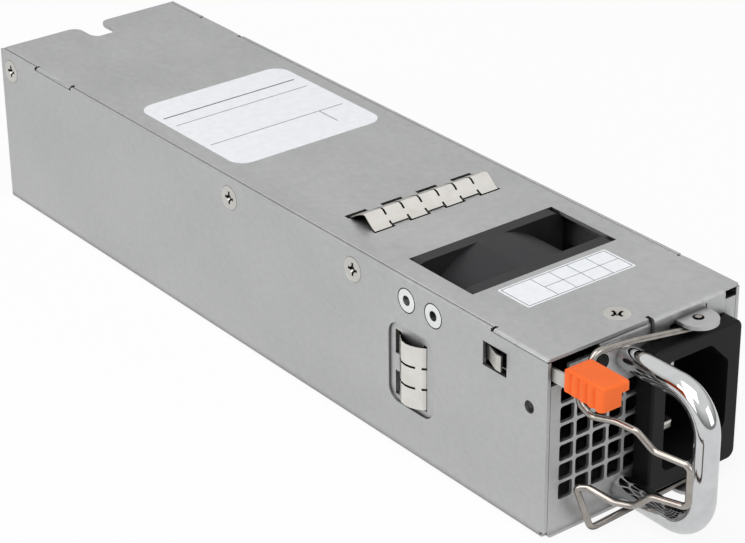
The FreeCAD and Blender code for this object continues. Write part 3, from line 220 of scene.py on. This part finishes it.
# ---------------------------------------------------------------- fan
# A 40 mm axial fan moulded in black glass-filled nylon: square frame, round duct and seven-bladed
# rotor on a steel spindle. The frame's flanges fill the openings in the base and the cover.

fan_black = moulded("fan_nylon", (0.012, 0.012, 0.013), (0.020, 0.020, 0.022), 0.5, depth=0.00003,
                    specular=0.3)
dress(fan_black, "fan_frame", "fan_rotor")
dress(plated("ground_steel", (0.42, 0.415, 0.40), (0.60, 0.595, 0.58), 0.3, stretch=(1, 12, 1)),
      "fan_shaft")

# ---------------------------------------------------------------- mains inlet
# An appliance inlet in black plastic, pushed through the front panel as far as its flange.
# Its three flat pins are nickel-plated brass.

inlet_black = moulded("inlet_plastic", (0.006, 0.006, 0.0065), (0.009, 0.009, 0.0095), 0.45,
                      grain=0.0003, specular=0.14)
dress(inlet_black, "inlet_housing")
dress(nickel, "inlet_pins")

# ---------------------------------------------------------------- pull handle
# A steel rod bent to a U, polished and chromed, and held by two screws from behind the panel.
# The plating is bright, with a very slight haze.


def chrome_plate():
    """Bright chrome with a slight haze."""
    material, tree, surface, place = start_finish("chrome_plate", 1.0)
    haze = cloud(tree, place, 0.003)
    colour = shade_between(tree, haze, (0.54, 0.545, 0.55), (0.61, 0.615, 0.62))
    tree.links.new(colour, surface.inputs["Base Color"])
    tree.links.new(between(tree, haze, 0.05, 0.11), surface.inputs["Roughness"])
    return material


dress(chrome_plate(), "pull_handle")

# ---------------------------------------------------------------- cord bail
# Drawn stainless wire bent to a waisted loop. It hooks into the two ears and swings over the plug
# to hold the cord.

dress(plated("drawn_wire", (0.29, 0.265, 0.24), (0.38, 0.35, 0.325), 0.2, grain=0.0025), "cord_bail")

# ---------------------------------------------------------------- side latch
# A strip of nickel-plated spring steel riveted inside the left wall. Its catch stands out through a
# window, and an orange moulded tab is pushed over its front end.

dress(nickel, "latch_blade", "latch_foot")
dress(plated("tinned_rivet", (0.78, 0.79, 0.79), (0.86, 0.87, 0.87), 0.42, grain=0.003), "latch_rivets")
dress(moulded("orange_plastic", (0.83, 0.13, 0.02), (0.88, 0.155, 0.027), 0.45, grain=0.0003,
              specular=0.2), "thumb_tab")

# ---------------------------------------------------------------- cover
# The lid of the case: the same zinc-coated sheet, flanged down inside the walls with a tight fold.
# Its four side tabs roll over the walls, each between two narrow relief slits.

cover_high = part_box("top_cover")[1]
pan_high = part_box("chassis_pan")[1]
front_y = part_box("front_panel")[0].y
sheet = cover_high.z - pan_high.z
case_side = pan_high.x
seam = 0.0001
flange_side = case_side - sheet - seam
relief_width = 0.0008
hair = 1e-6

# For each side, where its front and rear tabs start and end, measured back from the front panel.
tabs = {-1: ((0, 0.0157), (0.1688, 0.1834)), 1: ((0, 0.0157), (0.1698, 0.1856))}


def welded_copy(name):
    """A copy of a CAD piece's mesh, with the corners that its faces share joined."""
    mesh = bmesh.new()
    mesh.from_mesh(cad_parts[name].data)
    bmesh.ops.remove_doubles(mesh, verts=mesh.verts, dist=hair / 10)
    return mesh


def all_at(part, test):
    """Whether the test holds at every corner of an edge or face."""
    return all(test(vertex.co) for vertex in part.verts)


def in_tab(vertex):
    """Whether a corner of the sheet lies between the ends of a tab on its own side."""
    spans = tabs[int(math.copysign(1, vertex.co.x))]
    return any(low - seam < vertex.co.y - front_y < high + seam for low, high in spans)


def cut_at_tabs(mesh):
    """Cut the sheet along its middle, then each half across at the ends of its tabs and slits."""
    whole = mesh.verts[:] + mesh.edges[:] + mesh.faces[:]
    bmesh.ops.bisect_plane(mesh, geom=whole, dist=hair, plane_co=(0, 0, 0), plane_no=(1, 0, 0))
    for side, spans in tabs.items():
        for low, high in spans:
            for end in (low, low - relief_width, high, high + relief_width):
                half = [part for kind in (mesh.edges, mesh.faces) for part in kind
                        if all_at(part, lambda place: side * place.x > -hair)]
                bmesh.ops.bisect_plane(mesh, geom=half, dist=hair, plane_co=(0, front_y + end, 0),
                                       plane_no=(0, 1, 0))


def tighten_folds(mesh):
    """Draw the long folds tight, fill the groove beside each tab, and lift the tabs off the walls."""
    drawn_fold, tight_fold, lift = 0.001, 0.00035, 0.00013
    for vertex in mesh.verts:
        side = math.copysign(1, vertex.co.x)
        across_fold = abs(vertex.co.x) - flange_side + drawn_fold
        up_fold = vertex.co.z - cover_high.z + drawn_fold
        off_fold = abs(math.hypot(across_fold, up_fold) - drawn_fold)
        on_fold = min(across_fold, up_fold) > -hair and off_fold < 10 * hair
        if on_fold and not in_tab(vertex):
            angle = math.atan2(across_fold, up_fold)
            vertex.co.x = side * (flange_side - tight_fold * (1 - math.sin(angle)))
            vertex.co.z = cover_high.z - tight_fold * (1 - math.cos(angle))
        elif on_fold and abs(vertex.co.x) < flange_side - sheet + hair:
            vertex.co.z = cover_high.z
        elif abs(vertex.co.x) > flange_side + seam and vertex.co.z < pan_high.z + seam:
            vertex.co.z += lift


def round_off(mesh, edges, radius, steps):
    """Round edges to a radius, in a number of flat steps."""
    bmesh.ops.bevel(mesh, geom=edges, offset=radius, segments=steps, profile=0.5, affect="EDGES")


def roll_tabs(mesh):
    """Round the tabs' outer upper and front edges."""
    roll = 0.0006
    outer = [edge for edge in mesh.edges if all_at(edge, lambda place: abs(place.x) > case_side - hair)
             and (all_at(edge, lambda place: place.z > cover_high.z - hair)
                  or all_at(edge, lambda place: place.y < front_y + hair))]
    round_off(mesh, outer, roll, 4)


def round_notch(mesh):
    """Round the outer corners of the notch in the lid's rear edge."""
    corner, notch_reach = 0.0026, 0.01
    corners = [edge for edge in mesh.edges
               if all_at(edge, lambda place: place.y > cover_high.y - hair and abs(place.x) < notch_reach)
               and abs(edge.verts[0].co.z - edge.verts[1].co.z) > sheet / 2]
    round_off(mesh, corners, corner, 5)


def smooth_by_angle(mesh):
    """Shade the faces that lie along no axis smooth, and keep edges sharp where the sheet turns hard."""
    flat, hard_turn = 0.99999, 0.5
    mesh.normal_update()
    for face in mesh.faces:
        face.smooth = max(abs(turn) for turn in face.normal) < flat
    for edge in mesh.edges:
        edge.smooth = edge.calc_face_angle(0) < hard_turn


def add_piece(mesh, name):
    """Put a finished mesh into the scene as a piece of its own."""
    data = bpy.data.meshes.new(name)
    mesh.to_mesh(data)
    mesh.free()
    piece = bpy.data.objects.new(name, data)
    bpy.context.scene.collection.objects.link(piece)
    return piece


def make_cover_sheet():
    """The cover with its long folds drawn tight, and with rolled tabs that stand just off the walls."""
    mesh = welded_copy("top_cover")
    cut_at_tabs(mesh)
    tighten_folds(mesh)
    roll_tabs(mesh)
    round_notch(mesh)
    smooth_by_angle(mesh)
    return add_piece(mesh, "cover_sheet")


dress(zinc, "top_cover")
cover_sheet = make_cover_sheet()
cover_sheet.data.materials.append(zinc)
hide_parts("top_cover")
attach(cover_sheet, "chassis")

# ---------------------------------------------------------------- wall edges
# The last strip of both side walls, of the same sheet. It stands up level with the lid wherever no
# tab lies over the wall, and its long upper edges are slightly rounded from shearing.


def add_bar(mesh, middle, size):
    """Add a square-cornered bar of a size about its middle."""
    place = Matrix.Translation(middle) @ Matrix.Diagonal((*size, 1))
    bmesh.ops.create_cube(mesh, size=1.0, matrix=place)


def make_wall_edges():
    """The upper edges of both walls, between the tabs and behind the rear ones."""
    sheared_edge = 0.00018
    mesh = bmesh.new()
    for side, ((_, front_end), (rear_start, rear_end)) in tabs.items():
        runs = ((front_y + front_end + relief_width, front_y + rear_start - relief_width),
                (front_y + rear_end + relief_width, pan_high.y))
        for start, end in runs:
            middle = Vector((side * (case_side - sheet / 2), (start + end) / 2,
                             (pan_high.z + cover_high.z - seam) / 2))
            add_bar(mesh, middle, Vector((sheet, end - start, cover_high.z - seam - pan_high.z)))
    long_edges = [edge for edge in mesh.edges if all_at(edge, lambda place: place.z > pan_high.z + hair)
                  and abs(edge.verts[0].co.y - edge.verts[1].co.y) > sheet]
    round_off(mesh, long_edges, sheared_edge, 3)
    smooth_by_angle(mesh)
    return add_piece(mesh, "wall_edges")


wall_edges = make_wall_edges()
wall_edges.data.materials.append(zinc)
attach(wall_edges, "chassis")

# ---------------------------------------------------------------- rear panel's notch
# The rear panel's upper edge is notched below the notch in the lid, so that the way through is open.
# This piece is the whole panel, with that notch a little wider and deeper.


def make_rear_sheet():
    """The rear panel, its notch as wide and deep as the view out through the lid's notch."""
    notch_low, notch_high = Vector((-0.0044, 0.09, 0.0363)), Vector((0.0069, 0.11, 0.045))
    mesh = bmesh.new()
    add_bar(mesh, (notch_low + notch_high) / 2, notch_high - notch_low)
    notch = add_piece(mesh, "notch")
    uncut = add_piece(welded_copy("rear_panel"), "uncut")
    modifier = uncut.modifiers.new("notch", "BOOLEAN")
    modifier.object = notch
    modifier.operation = "DIFFERENCE"
    bpy.context.view_layer.update()
    mesh = bmesh.new()
    mesh.from_mesh(uncut.evaluated_get(bpy.context.evaluated_depsgraph_get()).data)
    for piece in (notch, uncut):
        bpy.data.objects.remove(piece)
    smooth_by_angle(mesh)
    return add_piece(mesh, "rear_sheet")


rear_sheet = make_rear_sheet()
rear_sheet.data.materials.append(zinc)
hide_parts("rear_panel")
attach(rear_sheet, "chassis")

# ---------------------------------------------------------------- finger strips
# Bright plated beryllium-copper strips clipped into slots. They earth the case to its bay.
# Each is slit into fingers that spring against the bay's sheet.

dress(plated("bright_strip", (0.66, 0.64, 0.60), (0.75, 0.73, 0.69), 0.22, grain=0.004),
      "emi_strip_top", "emi_strip_side")

# ---------------------------------------------------------------- screws and lamp
# Countersunk cross-head screws with a nickel finish hold the cover down. The lamp is a dark lens
# that lights when power is on.

dress(nickel, "cover_screws", "top_screw")
dress(moulded("lamp_lens", (0.004, 0.004, 0.004), (0.007, 0.007, 0.007), 0.25, specular=0.12),
      "status_lamp")

# ---------------------------------------------------------------- labels
# Two white film labels stuck on the cover. They are blank but for plain ruled lines, where the
# printing would go.

film_thickness, ink_thickness = 0.00008, 0.00001
film_top = cover_high.z + film_thickness
ink_top = film_top + ink_thickness


def rounded_plate(name, x, y, radius, low, high):
    """A thin plate with round corners between (low, high) pairs in x and y, from height low to high."""
    corner_steps = 8
    mesh = bmesh.new()
    ring = []
    corners = ((x[1], y[1], 0), (x[0], y[1], 90), (x[0], y[0], 180), (x[1], y[0], 270))
    for corner_x, corner_y, start in corners:
        centre_x = corner_x - math.copysign(radius, corner_x - sum(x) / 2)
        centre_y = corner_y - math.copysign(radius, corner_y - sum(y) / 2)
        for step in range(corner_steps + 1):
            angle = math.radians(start + step * 90 / corner_steps)
            point = (centre_x + radius * math.cos(angle), centre_y + radius * math.sin(angle), low)
            ring.append(mesh.verts.new(point))
    face = mesh.faces.new(ring)
    raised = bmesh.ops.extrude_face_region(mesh, geom=[face])
    top = [part for part in raised["geom"] if isinstance(part, bmesh.types.BMVert)]
    bmesh.ops.translate(mesh, verts=top, vec=(0, 0, high - low))
    bmesh.ops.recalc_face_normals(mesh, faces=mesh.faces)
    return add_piece(mesh, name)


def printed_film():
    """Satin white film with a faint fibre."""
    material, tree, surface, place = start_finish("printed_film", 0.0)
    fibre = cloud(tree, place, 0.002)
    colour = shade_between(tree, fibre, (0.80, 0.81, 0.83), (0.86, 0.87, 0.88))
    tree.links.new(colour, surface.inputs["Base Color"])
    tree.links.new(between(tree, fibre, 0.3, 0.42), surface.inputs["Roughness"])
    relief(tree, surface, fibre, 0.000004, 0.3)
    return material


def ruled_lines(name, lines, low, high):
    """Thin printed bars: each line is ((low x, high x), (low y, high y)), with y from the front panel."""
    mesh = bmesh.new()
    for x, y in lines:
        middle = Vector(((x[0] + x[1]) / 2, front_y + (y[0] + y[1]) / 2, (low + high) / 2))
        add_bar(mesh, middle, Vector((x[1] - x[0], y[1] - y[0], high - low)))
    return add_piece(mesh, name)


def across(x, y, thick):
    """A line across the cover, between two x and about one y."""
    return x, (y - thick / 2, y + thick / 2)


def along(x, y, thick):
    """A line along the cover, about one x and between two y."""
    return (x - thick / 2, x + thick / 2), y


film = printed_film()
rating_label = rounded_plate("rating_label", (-0.020, 0.0204), (front_y + 0.107, front_y + 0.1476), 0.004,
                             cover_high.z, film_top)
small_label = rounded_plate("small_label", (-0.0144, 0.0142), (front_y + 0.0179, front_y + 0.0273),
                            0.0004, cover_high.z, film_top)
heavy_rule, fine_rule, frame_rule, cell_rule = 0.00042, 0.00022, 0.00016, 0.00014
rating_rules = ruled_lines("rating_rules", [
    across((-0.0186, 0.0182), 0.1387, heavy_rule), across((-0.0184, 0.0183), 0.1337, fine_rule),
    across((-0.0185, 0.0183), 0.1201, fine_rule), along(0.0116, (0.1130, 0.1201), fine_rule)],
    film_top, ink_top)
frame_x, frame_y, cell_y = (-0.0138, 0.0136), (0.0184, 0.0268), 0.0225
cell_x = (-0.0062, -0.0013, 0.0034, 0.0085)
cell_rules = ruled_lines("cell_rules", [
    across(frame_x, frame_y[0], frame_rule), across(frame_x, frame_y[1], frame_rule),
    along(frame_x[0], frame_y, frame_rule), along(frame_x[1], frame_y, frame_rule),
    across((cell_x[0], frame_x[1]), cell_y, cell_rule),
    *[along(x, frame_y, cell_rule) for x in cell_x]],
    film_top, ink_top)
ink = moulded("grey_ink", (0.055, 0.055, 0.06), (0.085, 0.085, 0.09), 0.5, depth=0.000001)
for label in (rating_label, small_label):
    label.data.materials.append(film)
for rules in (rating_rules, cell_rules):
    rules.data.materials.append(ink)
for piece in (rating_label, small_label, rating_rules, cell_rules):
    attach(piece, "chassis")

# ---------------------------------------------------------------- floor, light and camera
# A pale floor under a wide soft lamp with two weaker ones, seen from the front left and above.
# Polished metal reflects a room that is grey at floor level and white higher up.

floor_reach = 3.0
floor_corners = [(-floor_reach, -floor_reach, 0), (floor_reach, -floor_reach, 0),
                 (floor_reach, floor_reach, 0), (-floor_reach, floor_reach, 0)]
floor_mesh = bpy.data.meshes.new("floor")
floor_mesh.from_pydata(floor_corners, [], [(0, 1, 2, 3)])
floor = bpy.data.objects.new("floor", floor_mesh)
bpy.context.scene.collection.objects.link(floor)

floor_finish = bpy.data.materials.new("pale_floor")
floor_finish.use_nodes = True
floor_tree = floor_finish.node_tree
floor_paint = floor_tree.nodes["Principled BSDF"]
floor_paint.inputs["Base Color"].default_value = (0.85, 0.85, 0.85, 1)
floor_paint.inputs["Roughness"].default_value = 0.9
glow = add_node(floor_tree, "ShaderNodeEmission", ("Color", (1, 1, 1, 1)), ("Strength", 1.0))
seen_glow, mirrored_glow = 0.9, 0.7
floor_rays = floor_tree.nodes.new("ShaderNodeLightPath")
mirrored = add_node(floor_tree, "ShaderNodeMath", (0, floor_rays.outputs["Is Glossy Ray"]),
                    (1, mirrored_glow), operation="MULTIPLY")
seen = add_node(floor_tree, "ShaderNodeMath", (0, floor_rays.outputs["Is Camera Ray"]),
                (1, seen_glow), operation="MULTIPLY")
glow_share = add_node(floor_tree, "ShaderNodeMath", (0, mirrored.outputs[0]), (1, seen.outputs[0]),
                      operation="MAXIMUM")
floor_mix = add_node(floor_tree, "ShaderNodeMixShader", (0, glow_share.outputs[0]),
                     (1, floor_paint.outputs[0]), (2, glow.outputs[0]))
floor_tree.links.new(floor_mix.outputs[0], floor_tree.nodes["Material Output"].inputs["Surface"])
floor_mesh.materials.append(floor_finish)

world = bpy.data.worlds.new("studio")
bpy.context.scene.world = world
world.use_nodes = True
sky = world.node_tree
room = sky.nodes["Background"]
room.inputs["Color"].default_value = (0.9, 0.92, 0.95, 1)
room.inputs["Strength"].default_value = 0.45
white = add_node(sky, "ShaderNodeBackground", ("Color", (1, 1, 1, 1)), ("Strength", 1.0))
direction = sky.nodes.new("ShaderNodeTexCoord").outputs["Generated"]
height = add_node(sky, "ShaderNodeSeparateXYZ", (0, direction)).outputs["Z"]
walls = add_node(sky, "ShaderNodeBackground", ("Color", (1, 1, 1, 1)),
                 ("Strength", between(sky, height, 0.22, 1.0, 0.0, 0.55)))
sky_rays = sky.nodes.new("ShaderNodeLightPath")
reflected = add_node(sky, "ShaderNodeMath", (0, sky_rays.outputs["Is Glossy Ray"]),
                     (1, sky_rays.outputs["Is Transmission Ray"]), operation="MAXIMUM")
lit = add_node(sky, "ShaderNodeMixShader", (0, reflected.outputs[0]), (1, room.outputs[0]),
               (2, walls.outputs[0]))
backed = add_node(sky, "ShaderNodeMixShader", (0, sky_rays.outputs["Is Camera Ray"]),
                  (1, lit.outputs[0]), (2, white.outputs[0]))
sky.links.new(backed.outputs[0], sky.nodes["World Output"].inputs["Surface"])


def soft_lamp(name, place, width, power):
    """A square lamp, aimed at the middle of the case's base."""
    lamp = bpy.data.lights.new(name, "AREA")
    lamp.shape = "SQUARE"
    lamp.size = width
    lamp.energy = power
    holder = bpy.data.objects.new(name, lamp)
    holder.location = place
    holder.rotation_euler = (-Vector(place)).to_track_quat("-Z", "Y").to_euler()
    bpy.context.scene.collection.objects.link(holder)


soft_lamp("key_lamp", (-0.5, -0.2, 1.1), width=0.9, power=8)
soft_lamp("left_lamp", (-1.2, 0.1, 0.5), width=0.8, power=5)
soft_lamp("front_lamp", (0.3, -1.2, 0.5), width=0.7, power=4)

azimuth, elevation, roll = math.radians(-37.77), math.radians(27.17), -0.01
back = Vector((math.sin(azimuth) * math.cos(elevation), -math.cos(azimuth) * math.cos(elevation),
               math.sin(elevation)))
level = Vector((0, 0, 1)).cross(back).normalized()
upright = back.cross(level)
camera_x = level * math.cos(roll) + upright * math.sin(roll)
camera_y = upright * math.cos(roll) - level * math.sin(roll)
camera_turn = Matrix((camera_x, camera_y, back)).transposed()
camera_place = (-0.2969, -0.3974, 0.26505)
view = bpy.data.cameras.new("camera")
view.lens = 119.3
view.sensor_width = 36.0
view.clip_start = 0.01
camera = bpy.data.objects.new("camera", view)
camera.matrix_world = Matrix.Translation(camera_place) @ camera_turn.to_4x4()
bpy.context.scene.collection.objects.link(camera)
bpy.context.scene.camera = camera
bpy.context.scene.view_settings.view_transform = "Standard"
